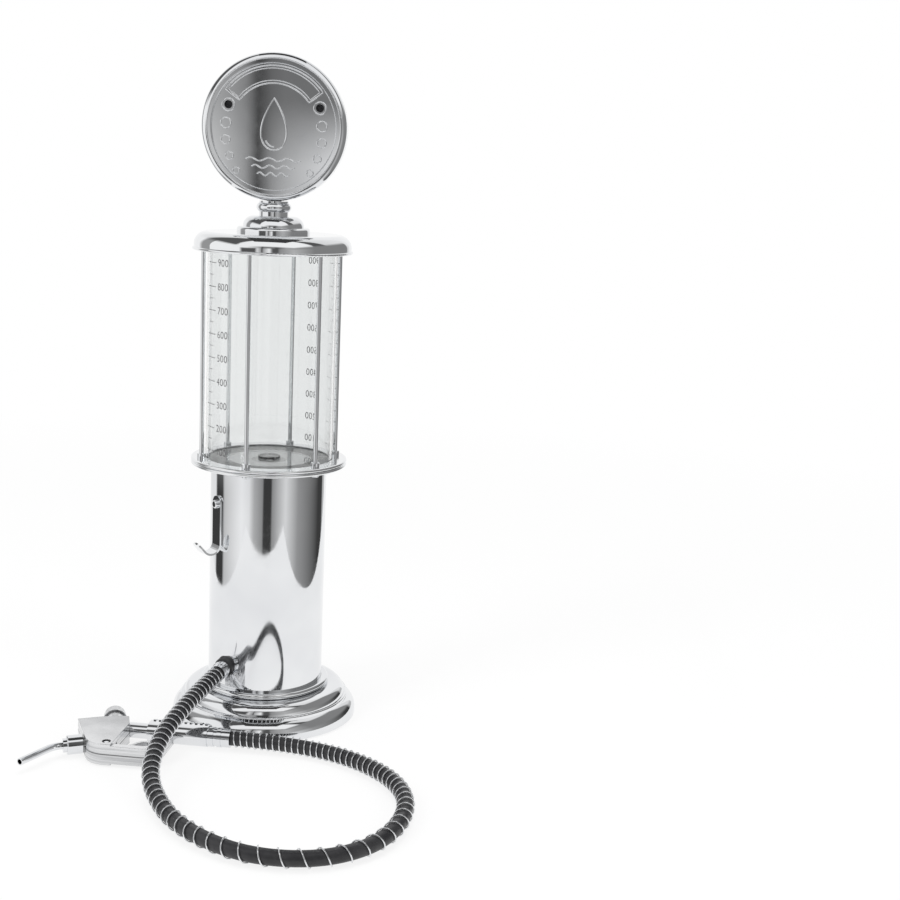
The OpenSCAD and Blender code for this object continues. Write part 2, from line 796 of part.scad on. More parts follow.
// Flat outline of the trigger guard, from the body's front corner back to the handle
module guard_outline() {
    bend = [guard_back + guard_turn, body_top - guard_turn];
    translate([bend.x, body_top - guard_w]) square([front_corner.x - bend.x, guard_w]);
    translate([guard_back, 0]) square([guard_w, bend.y]);
    intersection() {
        difference() {
            translate(bend) circle(guard_turn);
            translate(bend) circle(guard_turn - guard_w);
        }
        translate([guard_back, bend.y]) square(guard_turn);
    }
}

// Upper half of the nozzle's body, above the plane of its seam
module nozzle_half() {
    difference() {
        union() {
            linear_extrude(half_t) body_outline();
            linear_extrude(guard_t / 2) guard_outline();
            intersection() {
                union() {
                    on_valve() translate([0, 0, chamber_end])
                        cylinder(r = half_t - 2 * fit, h = barrel_end - chamber_end);
                    on_spout() translate([-spout_boss_d / 2, 0, 0]) rotate([0, 90, 0])
                        cylinder(d = spout_boss_d, h = spout_boss + spout_boss_d / 2);
                }
                translate([0, -body_top, 0]) cube([3 * body_top, 3 * body_top, half_t]);
            }
        }
        on_valve() translate([0, 0, chamber_end])
            cylinder(d = valve_bore, h = barrel_end - chamber_end + past);
        on_valve() translate([0, 0, stem_tip])
            cylinder(d = stem_d + 1.6 * fit, h = chamber_end - stem_tip + past);
        translate([slot[0].x, slot[0].y, -past])
            cube([slot[1].x - slot[0].x, slot[1].y - slot[0].y, slot_depth + past]);
        translate([pivot.x, pivot.y, -past]) cylinder(d = hub_d + 2 * loose, h = slot_depth + past);
        translate([pivot.x, pivot.y, -past]) cylinder(d = pin_d + fit, h = body_t);
        rotate([0, 90, 0]) cylinder(d = handle_d + 2 * fit, h = grip_end);
        rotate([0, 90, 0]) cylinder(d = tenon_d + 2 * fit, h = tenon_end + fit);
        on_spout() rotate([0, 90, 0]) translate([0, 0, -spout_boss_d])
            cylinder(d = spout_bore, h = spout_boss_d + spout_boss + past);
    }
}

module nozzle_upper() color(satin) in_nozzle() difference() {
    nozzle_half();
    translate([pivot.x, pivot.y, half_t - pin_recess]) cylinder(d = pin_head_d + 2 * fit, h = body_t);
}

module nozzle_lower() color(satin) in_nozzle() mirror([0, 0, 1]) difference() {
    nozzle_half();
    translate([pivot.x, pivot.y, half_t - pin_recess]) cylinder(d = nut_d + 2 * fit, h = body_t, $fn = 6);
}

module trigger() color(satin) in_nozzle() difference() {
    line = smooth(trigger_path, 4);
    tip = trigger_path[len(trigger_path) - 1];
    union() {
        translate([0, 0, -trigger_w / 2]) linear_extrude(trigger_w) polygon(strip(line, trigger_t));
        translate([tip.x, tip.y, -trigger_w / 2]) cylinder(d = trigger_t, h = trigger_w);
        translate([pivot.x, pivot.y, -trigger_w / 2]) cylinder(d = hub_d, h = trigger_w);
    }
    translate([pivot.x, pivot.y, -trigger_w]) cylinder(d = pin_d + fit, h = 2 * trigger_w);
}

module trigger_pin() color(chrome) in_nozzle() translate([pivot.x, pivot.y, 0]) {
    translate([0, 0, half_t - pin_recess]) cylinder(d = pin_head_d, h = pin_head_h);
    translate([0, 0, pin_recess - half_t - nut_h]) cylinder(d = pin_d, h = body_t - 2 * pin_recess + nut_h);
}

module trigger_nut() color(chrome) in_nozzle()
    translate([pivot.x, pivot.y, pin_recess - half_t - nut_h]) difference() {
        cylinder(d = nut_d, h = nut_h, $fn = 6);
        translate([0, 0, -past]) cylinder(d = pin_d + 2 * fit, h = nut_h + 2 * past);
    }

module valve_stem() color(satin) in_nozzle() on_valve() difference() {
    union() {
        translate([0, 0, stem_tip]) cylinder(d = stem_d, h = piston_z - stem_tip);
        translate([0, 0, piston_z]) cylinder(d = valve_bore - 1.6 * fit, h = piston_t);
    }
    ring(valve_bore / 2 - 1.4, valve_bore, piston_z + 0.8, piston_z + piston_t - 0.8);
}

module valve_seal() color(black) in_nozzle() on_valve() rotate_extrude()
    translate([valve_bore / 2 - fit - 0.6, piston_z + piston_t / 2]) circle(0.6);

// Coil of the valve's return spring between the piston and the valve cap
module valve_spring() {
    from = piston_z + piston_t + valve_wire / 2 + fit / 2;
    to = barrel_end - valve_plug - valve_wire / 2 - fit / 2;
    r = valve_bore / 2 - valve_wire;
    steps = 8 * valve_turns;
    line = [for (i = [0 : steps]) [r * cos(45 * i), r * sin(45 * i), from + (to - from) * i / steps]];
    t = directions(line);
    n = [for (i = [0 : steps]) let (v = [cos(45 * i), sin(45 * i), 0]) unit(v - (v * t[i]) * t[i])];
    color(chrome) in_nozzle() on_valve() tube(line, t, n, valve_wire / 2, 6);
}

module valve_cap() color(chrome) in_nozzle() on_valve() translate([0, 0, barrel_end]) {
    translate([0, 0, -valve_plug]) cylinder(d = valve_bore - fit, h = valve_plug);
    cylinder(d = valve_collar_d, h = valve_collar_h);
    tier(valve_cap_d / 2, 0, valve_collar_h + valve_cap_h, 0.8);
}

// Cross-section of the handle: round towards the guard and deeper at its back
module handle_section(grow) {
    circle(d = handle_d + 2 * grow);
    translate([-handle_back, 0]) circle(d = handle_d + 2 * grow);
    translate([-handle_back, -handle_d / 2 - grow]) square([handle_back, handle_d + 2 * grow]);
}

module handle() color(chrome) in_nozzle() difference() {
    pitch = (grip_end - handle_start - rib_w) / rib_n;
    union() {
        translate([handle_start, 0, 0]) rotate([90, 0, 90])
            linear_extrude(grip_end - handle_start) handle_section(0);
        for (i = [0 : rib_n - 1]) translate([handle_start + rib_w + i * pitch, 0, 0]) intersection() {
            rotate([90, 0, 90]) linear_extrude(rib_w) handle_section(grip_rib);
            translate([0, -handle_d - handle_back, -handle_d]) cube([rib_w, handle_d, 2 * handle_d]);
        }
        difference() {
            rotate([0, 90, 0]) translate([0, 0, grip_end]) cylinder(d = wrist_d, h = tenon_end - grip_end);
            on_valve() translate([-shoulder - fit, -wrist_d, -body_top])
                cube([wrist_d, 2 * wrist_d, 2 * body_top]);
        }
        rotate([0, 90, 0]) translate([0, 0, grip_end]) cylinder(d = tenon_d, h = tenon_end - grip_end);
    }
    rotate([0, 90, 0]) cylinder(d = hose_bore - 1, h = tenon_end + past);
}

module handle_collar() color(chrome) in_nozzle() rotate([0, 90, 0]) difference() {
    union() {
        translate([0, 0, ferrule_end]) cylinder(d = handle_collar_d - 1.2, h = handle_start - ferrule_end);
        translate([0, 0, ferrule_end + 0.6]) cylinder(d = handle_collar_d, h = 3);
        translate([0, 0, handle_start - 4.4]) cylinder(d = handle_collar_d, h = 3.8);
    }
    cylinder(d = hose_bore - 1, h = handle_start + past);
}

module nozzle_ferrule() color(chrome) in_nozzle() rotate([0, 90, 0]) difference() {
    cylinder(d = ferrule_d, h = ferrule_end);
    translate([0, 0, -past]) cylinder(d = hose_bore - 1, h = ferrule_end + 2 * past);
}

module spout_collar() color(chrome) in_nozzle() on_spout() rotate([0, 90, 0]) difference() {
    union() {
        tier(spout_collar_d / 2, spout_boss, spout_boss + collar_l, 0.8);
        translate([0, 0, spout_boss]) cylinder(d = collar_step_d, h = collar_l + collar_step);
    }
    cylinder(d = spout_bore, h = spout_d * 6);
    translate([0, 0, spout_boss + spout_in]) cylinder(d = spout_d + 2 * fit, h = collar_l + collar_step);
}

// Path of the spout pipe in the spout's frame: straight, one bend, straight
function spout_path(over) =
    let (
        from = spout_boss + spout_in,
        bend = spout_boss + collar_l + collar_step + spout_straight,
        turned = arc([bend, spout_bend_r], spout_bend_r, -90, spout_bend - 90, 6),
        mouth = turned[6] + (spout_l + over) * [cos(spout_bend), sin(spout_bend)]
    )
    [for (q = concat([[from - over, 0]], turned, [mouth])) [q.x, q.y, 0]];

module spout_run(d, over) {
    p = spout_path(over);
    t = directions(p);
    tube(p, t, sides(t), d / 2, 16);
}

module spout() color(chrome) in_nozzle() on_spout() difference() {
    spout_run(spout_d, 0);
    spout_run(spout_bore, past);
}

module hose() {
    line = smooth(hose_points, 2);
    t = directions(line);
    color(black) tube(line, t, sides(t), hose_d / 2, 8);
}

// Share of the spring's length at which a share of its curls has been wound
function wound(share, tries = 24, u = 0.5) =
    tries == 0 ? u : wound(share, tries - 1, share - crowding * sin(360 * u) / (2 * PI));

// Wire spring around the hose: straight at both ends, with wider curls at the middle
module hose_spring() {
    line = smooth(hose_points, 8);
    t = directions(line);
    n = sides(t);
    s = lengths(line);
    span = s[len(s) - 1];
    steps = 8 * curls;
    stations = concat(
        [[0, 0]],
        [for (j = [0 : steps]) [wire_d + wound(j / steps) * (span - 2 * wire_d), 45 * j]],
        [[span, 45 * steps]]
    );
    places = [for (q = stations)
        let (
            i = min(len(s) - 2, max([for (k = [0 : len(s) - 1]) if (s[k] <= q[0]) k])),
            f = (q[0] - s[i]) / (s[i + 1] - s[i]),
            side = unit(n[i] * (1 - f) + n[i + 1] * f),
            out = cos(q[1]) * side + sin(q[1]) * cross(unit(t[i] * (1 - f) + t[i + 1] * f), side)
        )
        [line[i] * (1 - f) + line[i + 1] * f + coil_r * out, out]];
    wire = [for (q = places) q[0]];
    wt = directions(wire);
    wn = [for (i = [0 : len(wire) - 1]) unit(places[i][1] - (places[i][1] * wt[i]) * wt[i])];
    least = min([for (i = [0 : len(wire) - 6], j = [i + 5 : len(wire) - 1]) norm(wire[i] - wire[j])]);
    echo(hose_length = span, least_gap_of_spring = least - wire_d);
    color(chrome) tube(wire, wt, wn, wire_d / 2, 6);
}

base_shell();
base_feet();
base_pad();
base_screws();
foot_bead();
column();
seat_ring();
rod_screws();
for (i = [1 : rod_n]) tie_rod(i);
rod_nuts();
tank();
lower_gasket();
upper_gasket();
top_plate();
cap();
outlet_barb();
outlet_nut();
inner_hose();
grommet();
column_ferrule();
hook();
hook_screw();
hook_nut();
lid_foot();
lid_seal();
sign_front();
sign_back();
sign_screws();
nozzle_upper();
nozzle_lower();
trigger();
trigger_pin();
trigger_nut();
valve_stem();
valve_seal();
valve_spring();
valve_cap();
handle();
handle_collar();
nozzle_ferrule();
spout_collar();
spout();
hose();
hose_spring();
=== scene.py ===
# Drink dispenser in the shape of an old fuel pump: chrome column, clear tank, round sign, hose and nozzle.
import bpy
import json
import math
from mathutils import Matrix, Vector


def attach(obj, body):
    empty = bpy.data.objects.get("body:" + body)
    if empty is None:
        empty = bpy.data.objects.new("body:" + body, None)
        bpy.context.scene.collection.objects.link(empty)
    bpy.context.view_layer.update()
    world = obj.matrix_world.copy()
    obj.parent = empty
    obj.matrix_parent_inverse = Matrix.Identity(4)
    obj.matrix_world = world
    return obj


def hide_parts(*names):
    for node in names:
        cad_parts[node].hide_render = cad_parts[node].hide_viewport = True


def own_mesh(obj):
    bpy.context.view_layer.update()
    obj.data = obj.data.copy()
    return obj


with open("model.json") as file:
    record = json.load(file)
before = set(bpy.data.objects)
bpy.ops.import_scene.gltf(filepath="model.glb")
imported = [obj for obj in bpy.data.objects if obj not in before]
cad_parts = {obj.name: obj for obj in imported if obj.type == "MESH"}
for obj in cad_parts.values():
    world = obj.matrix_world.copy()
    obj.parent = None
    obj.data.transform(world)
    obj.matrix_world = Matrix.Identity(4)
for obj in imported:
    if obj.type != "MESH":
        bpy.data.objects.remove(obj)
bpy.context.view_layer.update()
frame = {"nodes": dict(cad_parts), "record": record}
scene = bpy.context.scene
nodes = frame["nodes"]
MM = 0.001
UP = Vector((0, 0, 1))
# Where the nozzle's hose end lies, which way the nozzle points, and its mid height, in millimetres
NOZZLE_AT, NOZZLE_TURN, NOZZLE_Z = (-13.3, -79.5), math.radians(173.5), 8.4

# Camera at the photograph's viewing angle, in metres, with the lens in millimetres
CAMERA_AT = (0.12217, -1.02886, 0.40255)
CAMERA_YAW, CAMERA_PITCH, CAMERA_ROLL = math.radians(0.492), math.radians(10.928), math.radians(2.487)
CAMERA_LENS, SENSOR_WIDTH, CLIP_START = 57.76, 36, 0.01


def add_camera():
    level = math.cos(CAMERA_PITCH)
    ahead = Vector((math.sin(CAMERA_YAW) * level, math.cos(CAMERA_YAW) * level, -math.sin(CAMERA_PITCH)))
    right = ahead.cross(UP).normalized()
    up = right.cross(ahead)
    rolled_right = right * math.cos(CAMERA_ROLL) + up * math.sin(CAMERA_ROLL)
    rolled_up = up * math.cos(CAMERA_ROLL) - right * math.sin(CAMERA_ROLL)
    cam = bpy.data.cameras.new("camera")
    cam.sensor_width = SENSOR_WIDTH
    cam.lens = CAMERA_LENS
    cam.clip_start = CLIP_START
    obj = bpy.data.objects.new("camera", cam)
    stand = Matrix((rolled_right, rolled_up, -ahead)).transposed().to_4x4()
    stand.translation = CAMERA_AT
    obj.matrix_world = stand
    scene.collection.objects.link(obj)
    scene.camera = obj


# Materials, each a node tree with its own pattern; the numbers are the colour sockets of a Mix node
COLOUR_A, COLOUR_B, COLOUR_OUT = 6, 7, 2


class Shader:
    """A node material with one Principled surface and helpers for its patterns."""

    def __init__(self, name):
        self.mat = bpy.data.materials.new(name)
        self.mat.use_nodes = True
        self.tree = self.mat.node_tree
        self.surface = self.tree.nodes["Principled BSDF"]
        self.where = self.tree.nodes.new("ShaderNodeTexCoord").outputs["Object"]

    def set(self, **values):
        for key, value in values.items():
            self.surface.inputs[key.replace("_", " ")].default_value = value

    def join(self, a, b):
        self.tree.links.new(a, b)

    def node(self, kind, **values):
        n = self.tree.nodes.new("ShaderNode" + kind)
        for key, value in values.items():
            if hasattr(n, key):
                setattr(n, key, value)
            else:
                n.inputs[key.replace("_", " ")].default_value = value
        return n

    def stretched(self, scale):
        m = self.node("Mapping")
        m.inputs["Scale"].default_value = scale
        self.join(self.where, m.inputs["Vector"])
        return m.outputs["Vector"]

    def noise(self, scale, detail=4.0, rough=0.55, along=None):
        n = self.node("TexNoise", Scale=scale, Detail=detail, Roughness=rough)
        self.join(along or self.where, n.inputs["Vector"])
        return n.outputs["Fac"]

    def span(self, fac, low, high, start=0.3, end=0.7):
        m = self.node("MapRange", From_Min=start, From_Max=end, To_Min=low, To_Max=high)
        self.join(fac, m.inputs["Value"])
        return m.outputs["Result"]

    def tint(self, fac, dark, light, start=0.3, end=0.7):
        r = self.node("ValToRGB")
        r.color_ramp.elements[0].position = start
        r.color_ramp.elements[1].position = end
        r.color_ramp.elements[0].color = (*dark, 1)
        r.color_ramp.elements[1].color = (*light, 1)
        self.join(fac, r.inputs["Fac"])
        self.join(r.outputs["Color"], self.surface.inputs["Base Color"])

    def rough(self, fac, low, high, start=0.3, end=0.7):
        self.join(self.span(fac, low, high, start, end), self.surface.inputs["Roughness"])

    def bump(self, fac, strength, depth):
        b = self.node("Bump", Strength=strength, Distance=depth)
        self.join(fac, b.inputs["Height"])
        self.join(b.outputs["Normal"], self.surface.inputs["Normal"])


def make_chrome(name, low=0.02, high=0.08, dark=(0.74, 0.75, 0.77), light=(0.84, 0.85, 0.86)):
    s = Shader(name)
    s.set(Metallic=1.0)
    s.tint(s.noise(14, 3), dark, light)
    s.rough(s.noise(90, 6, 0.65), low, high)
    s.bump(s.noise(38, 2), 0.06, 0.0004)
    return s.mat


# Radii in metres between which the seat's dull middle turns into chrome
DULL_R, BRIGHT_R = 0.0455, 0.0459


def make_seat(name):
    """Chrome, dull and speckled where it lies under the tank."""
    s = Shader(name)
    s.set(Metallic=1.0)
    far = s.node("VectorMath", operation="LENGTH")
    s.join(s.stretched((1, 1, 0)), far.inputs[0])
    s.tint(far.outputs["Value"], (0.42, 0.425, 0.43), (0.80, 0.81, 0.82), DULL_R, BRIGHT_R)
    dull = s.span(far.outputs["Value"], 0.4, 0.05, DULL_R, BRIGHT_R)
    s.join(dull, s.surface.inputs["Roughness"])
    s.bump(s.noise(900, 4, 0.7), 0.2, 0.0003)
    return s.mat


def make_satin(name):
    s = Shader(name)
    s.set(Metallic=1.0)
    s.tint(s.noise(60, 4), (0.56, 0.57, 0.59), (0.68, 0.69, 0.70))
    s.rough(s.noise(420, 3, along=s.stretched((1, 6, 6))), 0.24, 0.4)
    s.bump(s.noise(900, 3), 0.12, 0.00006)
    return s.mat


def make_nozzle(name):
    """Cast metal with streaks along its walls, a seam at mid height, and painted shade that darkens its
    creases, corners and recesses.
    """
    s = Shader(name)
    s.set(Metallic=1.0)
    streaks = s.noise(30, 4, 0.6, s.stretched((0.4, 0.4, 22)))
    s.tint(streaks, (0.47, 0.475, 0.485), (0.74, 0.745, 0.755), 0.34, 0.6)
    colour = s.surface.inputs["Base Color"].links[0].from_socket
    split = s.node("SeparateXYZ")
    s.join(s.where, split.inputs["Vector"])
    off = s.node("Math", operation="SUBTRACT")
    off.inputs[1].default_value = NOZZLE_Z * MM
    s.join(split.outputs["Z"], off.inputs[0])
    far = s.node("Math", operation="ABSOLUTE")
    s.join(off.outputs[0], far.inputs[0])
    seam = s.span(far.outputs[0], 0.3, 1.0, 0.0002, 0.0006)
    # painted shade: the colour darkens in creases, corners and recesses, where other surfaces lie close
    crease_shade_ao = s.node("AmbientOcclusion", Distance=0.004)
    shade = s.span(crease_shade_ao.outputs["AO"], 0.12, 1.0, 0.25, 0.75)
    both = s.node("Math", operation="MULTIPLY")
    s.join(seam, both.inputs[0])
    s.join(shade, both.inputs[1])
    mix = s.node("Mix", data_type="RGBA", blend_type="MULTIPLY")
    mix.inputs["Factor"].default_value = 1.0
    s.join(colour, mix.inputs[COLOUR_A])
    s.join(both.outputs[0], mix.inputs[COLOUR_B])
    s.join(mix.outputs[COLOUR_OUT], s.surface.inputs["Base Color"])
    s.rough(s.noise(420, 3, along=s.stretched((1, 1, 6))), 0.16, 0.28)
    edge = s.node("Bevel", Radius=0.0006)
    grain = s.node("Bump", Strength=0.08, Distance=0.00005)
    s.join(s.noise(900, 3), grain.inputs["Height"])
    s.join(edge.outputs["Normal"], grain.inputs["Normal"])
    s.join(grain.outputs["Normal"], s.surface.inputs["Normal"])
    return s.mat


def make_clear(name):
    s = Shader(name)
    s.set(Transmission_Weight=1.0, IOR=1.47, Base_Color=(0.89, 0.90, 0.90, 1))
    s.rough(s.noise(160, 5, 0.6, s.stretched((1, 1, 0.15))), 0.0, 0.045, 0.45, 0.75)
    return s.mat


def make_silicone(name):
    s = Shader(name)
    s.set(Transmission_Weight=0.55, IOR=1.41)
    s.tint(s.noise(120, 3), (0.78, 0.80, 0.80), (0.88, 0.90, 0.90))
    s.rough(s.noise(300, 3), 0.3, 0.45)
    return s.mat


def make_rubber(name):
    s = Shader(name)
    s.set(Specular_IOR_Level=0.45)
    s.tint(s.noise(70, 4), (0.012, 0.012, 0.014), (0.03, 0.03, 0.032))
    s.rough(s.noise(260, 4), 0.3, 0.5)
    s.bump(s.noise(700, 3), 0.18, 0.0001)
    return s.mat


def make_foam(name):
    s = Shader(name)
    s.tint(s.noise(240, 4), (0.012, 0.012, 0.013), (0.035, 0.035, 0.036))
    s.rough(s.noise(500, 3), 0.75, 0.95)
    s.bump(s.noise(1400, 4), 0.5, 0.0003)
    return s.mat


def make_ink(name):
    s = Shader(name)
    s.tint(s.noise(500, 3), (0.10, 0.10, 0.105), (0.17, 0.17, 0.175))
    s.rough(s.noise(300, 3), 0.5, 0.7)
    return s.mat


def make_dark_screw(name):
    s = Shader(name)
    s.set(Metallic=0.8)
    s.tint(s.noise(400, 3), (0.02, 0.02, 0.022), (0.06, 0.06, 0.065))
    s.rough(s.noise(600, 3), 0.3, 0.55)
    return s.mat


looks = {
    "chrome": make_chrome("chrome"),
    "satin_metal": make_satin("satin_metal"),
    "spring_wire": make_chrome("spring_wire", 0.06, 0.16, (0.70, 0.71, 0.73), (0.82, 0.83, 0.84)),
    "clear_acrylic": make_clear("clear_acrylic"),
    "clear_silicone": make_silicone("clear_silicone"),
    "black_rubber": make_rubber("black_rubber"),
    "black_foam": make_foam("black_foam"),
    "dark_screw": make_dark_screw("dark_screw"),
}
ink = make_ink("grey_ink")
cast = make_nozzle("cast_nozzle")
own_looks = dict.fromkeys(("nozzle_upper", "nozzle_lower", "trigger", "valve_cap"), cast)
own_looks["seat_ring"] = own_looks["outlet_nut"] = make_seat("seat_chrome")


# Mesh helpers
def new_piece(name, verts, faces, mat, body, smooth=True):
    mesh = bpy.data.meshes.new(name)
    mesh.from_pydata([tuple(v) for v in verts], [], faces)
    mesh.update()
    if smooth:
        mesh.polygons.foreach_set("use_smooth", [True] * len(mesh.polygons))
    mesh.materials.append(mat)
    obj = bpy.data.objects.new(name, mesh)
    scene.collection.objects.link(obj)
    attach(obj, body)
    return obj


def curve(points, steps):
    """Smooth curve through points, with a number of steps between two of them."""
    out = []
    for i in range(len(points) - 1):
        b, c = points[i], points[i + 1]
        a = points[i - 1] if i else 2 * b - c
        d = points[i + 2] if i + 2 < len(points) else 2 * c - b
        for k in range(steps):
            t = k / steps
            out.append((2 * b + (c - a) * t + (2 * a - 5 * b + 4 * c - d) * t * t
                        + (3 * b - a - 3 * c + d) * t ** 3) / 2)
    return out + [points[-1]]


def headings(p):
    """Direction of the line at each of its points."""
    return [(p[min(i + 1, len(p) - 1)] - p[max(i - 1, 0)]).normalized() for i in range(len(p))]


def sideways(t, start):
    """Directions across the line that twist as little as they can, from a first one."""
    n = (start - start.dot(t[0]) * t[0]).normalized()
    out = []
    for d in t:
        n = (n - n.dot(d) * d).normalized()
        out.append(n)
    return out


def tube(p, n, radius, sides):
    """Points and faces of a round tube along points, with a sideways direction for each."""
    t = headings(p)
    verts, faces = [], []
    for q, d, s in zip(p, t, n):
        b = d.cross(s)
        for k in range(sides):
            a = 2 * math.pi * k / sides
            verts.append(q + radius * (math.cos(a) * s + math.sin(a) * b))
    rings = len(p)
    for i in range(rings - 1):
        for k in range(sides):
            a, b = i * sides + k, i * sides + (k + 1) % sides
            faces.append((a, b, b + sides, a + sides))
    faces.append(tuple(reversed(range(sides))))
    faces.append(tuple(range((rings - 1) * sides, rings * sides)))
    return verts, faces


# Hose and its wire, along the route of the solids
COLUMN_R, OUTLET_TURN, OUTLET_Z = 41.8, math.radians(-36), 45
LEAVE_TURN, LEAVE_SLOPE = math.radians(-20), math.radians(10)


def outlet(s):
    """Point on the outlet's axis at a distance from the column's outside."""
    across = math.cos(LEAVE_SLOPE)
    return (COLUMN_R * math.sin(OUTLET_TURN) + s * math.sin(LEAVE_TURN) * across,
            -COLUMN_R * math.cos(OUTLET_TURN) - s * math.cos(LEAVE_TURN) * across,
            OUTLET_Z - s * math.sin(LEAVE_SLOPE))


def at_nozzle(x, y=0.0, z=0.0):
    """Point given in the nozzle's own frame."""
    c, d = math.cos(NOZZLE_TURN), math.sin(NOZZLE_TURN)
    return (NOZZLE_AT[0] + x * c - y * d, NOZZLE_AT[1] + x * d + y * c, NOZZLE_Z + z)


ROUTE = [Vector(q) * MM for q in (
    outlet(12), outlet(22),
    (-36.5, -67, 38.9), (-41.5, -82, 36), (-46.8, -98.5, 32.2), (-51.6, -114.5, 27.6),
    (-54.4, -131, 22.4), (-54.9, -147, 17.3), (-52.3, -162, 12.8), (-46, -178, 9.4),
    (-34.5, -199, 7.3), (-20.8, -216.3, 6.7), (-5, -231, 6.6),
    (12, -242, 6.6), (28.5, -248, 6.6), (46, -250, 6.6), (63.5, -247.5, 6.6),
    (79.5, -240, 6.6), (93.5, -227.5, 6.6), (104, -210, 6.6), (110, -189, 6.6),
    (111, -168.5, 6.6), (107, -149, 6.6), (98, -130.5, 6.6), (84.5, -114, 6.6),
    (68, -100.5, 6.6), (50, -91, 6.7), (32, -85.5, 7.1), (14.5, -82.8, 7.8),
    at_nozzle(-10), at_nozzle(0))]
HOSE_D, WIRE_D, COIL_R = 9.8 * MM, 1.0 * MM, 5.7 * MM
HOSE_STEPS, HOSE_SIDES, WIRE_SIDES = 8, 28, 8
CURLS, STEPS_PER_CURL, CROWDING, ROUNDS = 82, 16, 0.475, 24


def wound(share):
    """Place along the hose of a share of the winding, which crowds towards both ends."""
    u = 0.5
    for _ in range(ROUNDS):
        u = share - CROWDING * math.sin(2 * math.pi * u) / (2 * math.pi)
    return u


def add_hose():
    line = curve(ROUTE, HOSE_STEPS)
    t = headings(line)
    n = sideways(t, t[0].cross(UP))
    s = [0.0]
    for a, b in zip(line, line[1:]):
        s.append(s[-1] + (b - a).length)
    hose = new_piece("hose_tube", *tube(line, n, HOSE_D / 2, HOSE_SIDES), looks["black_rubber"], "stand")
    steps = STEPS_PER_CURL * CURLS
    stations = [(0.0, 0.0)]
    for j in range(steps + 1):
        along = WIRE_D + wound(j / steps) * (s[-1] - 2 * WIRE_D)
        stations.append((along, 2 * math.pi * j / STEPS_PER_CURL))
    stations.append((s[-1], 2 * math.pi * CURLS))
    wire, outs = [], []
    i = 0
    for q, a in stations:
        while i < len(s) - 2 and s[i + 1] < q:
            i += 1
        f = (q - s[i]) / (s[i + 1] - s[i])
        d = t[i].lerp(t[i + 1], f).normalized()
        side = n[i].lerp(n[i + 1], f).normalized()
        out = math.cos(a) * side + math.sin(a) * d.cross(side)
        wire.append(line[i].lerp(line[i + 1], f) + COIL_R * out)
        outs.append(out)
    wt = headings(wire)
    wn = [(o - o.dot(d) * d).normalized() for o, d in zip(outs, wt)]
    coil = new_piece("hose_wire", *tube(wire, wn, WIRE_D / 2, WIRE_SIDES), looks["spring_wire"], "stand")
    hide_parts("hose")
    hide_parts("hose_spring")


# Printed scale on two sides of the tank, just proud of its outside
TANK_R = 45.7 * MM + 0.00004
ZERO_Z, STEP_Z, MARKS = 185.2, 16.5, 10
MAJOR_ARC, MINOR_ARC, PATCH_ARC = 15, 7, 1.5
MAJOR_HALF, MINOR_HALF = 0.22 * MM, 0.2 * MM
DIGIT_SIZE, DIGIT_SPACE, DIGIT_SQUEEZE = 7.2 * MM, 1.06, 0.98
# Turns at which each side's long marks, short marks and numbers start
SCALE_SIDES = ((-66, -63, -48), (101, 104, 137))


def on_tank(az, z):
    """Point of the tank's outside at a turn from the front and a height."""
    a = math.radians(az)
    return Vector((TANK_R * math.sin(a), -TANK_R * math.cos(a), z))


def add_scale():
    verts, faces = [], []

    def patch(az0, az1, z0, z1):
        count = max(2, int(abs(az1 - az0) / PATCH_ARC) + 1)
        base = len(verts)
        for k in range(count + 1):
            a = az0 + (az1 - az0) * k / count
            verts.append(on_tank(a, z0))
            verts.append(on_tank(a, z1))
        for k in range(count):
            b = base + 2 * k
            faces.append((b, b + 2, b + 3, b + 1))

    for major, minor, label in SCALE_SIDES:
        for k in range(1, MARKS):
            z = (ZERO_Z + STEP_Z * k) * MM
            patch(major, major + MAJOR_ARC, z - MAJOR_HALF, z + MAJOR_HALF)
            if k < MARKS - 1:
                h = z + STEP_Z * MM / 2
                patch(minor, minor + MINOR_ARC, h - MINOR_HALF, h + MINOR_HALF)
            text = bpy.data.curves.new("digits", "FONT")
            text.body = str(100 * k)
            text.size = DIGIT_SIZE
            text.space_character = DIGIT_SPACE
            text.align_x = "LEFT"
            text.align_y = "CENTER"
            text.resolution_u = 4
            holder = bpy.data.objects.new("digits", text)
            scene.collection.objects.link(holder)
            drawn = holder.evaluated_get(bpy.context.evaluated_depsgraph_get())
            mesh = bpy.data.meshes.new_from_object(drawn)
            base = len(verts)
            for v in mesh.vertices:
                az = label + math.degrees(v.co.x * DIGIT_SQUEEZE / TANK_R)
                verts.append(on_tank(az, z + v.co.y))
            faces.extend(tuple(base + i for i in p.vertices) for p in mesh.polygons)
            bpy.data.objects.remove(holder)
            bpy.data.curves.remove(text)
            bpy.data.meshes.remove(mesh)
    new_piece("tank_scale", verts, faces, ink, "stand")


# Raised lines on the sign's face, in millimetres from its middle
SIGN_Z = 427.0 * MM
SIGN_HALF, RIM_LIFT = 11.0, 1.2
FACE_Y = -(SIGN_HALF - RIM_LIFT) * MM
RIDGE_POINTS, RIDGE_SUNK, RIM_POINTS = 7, 0.02, 120
LINE_W, LINE_H = 1.2, 0.55
# Radius, width, height and lift of the fine rings
FINE_RINGS = ((43.0, 0.7, 0.4, 0.0), (46.2, 0.9, 0.35, RIM_LIFT))
# Outer and inner radius, end turns, width and height of the band's two outlines
BAND_LINES = ((41.3, 29.5, 144, 36, 1.2, 0.55), (39.5, 31.3, 142, 38, 0.8, 0.4))
# Place and radius of the rings on each side, the last one round a screw
SIDE_RINGS = ((33.1, 1.8, 3.5), (33.2, -9.5, 3.05), (30.4, -20.4, 2.65), (25.5, -30.3, 2.2),
              (31.5, 14.0, 4.2))
SIDE_RING_W, SIDE_RING_H = 1.0, 0.5
DROP_HALF_W, DROP_HALF_H, DROP_Z, DROP_POINTS = 11.5, 17.5, 2.0, 64
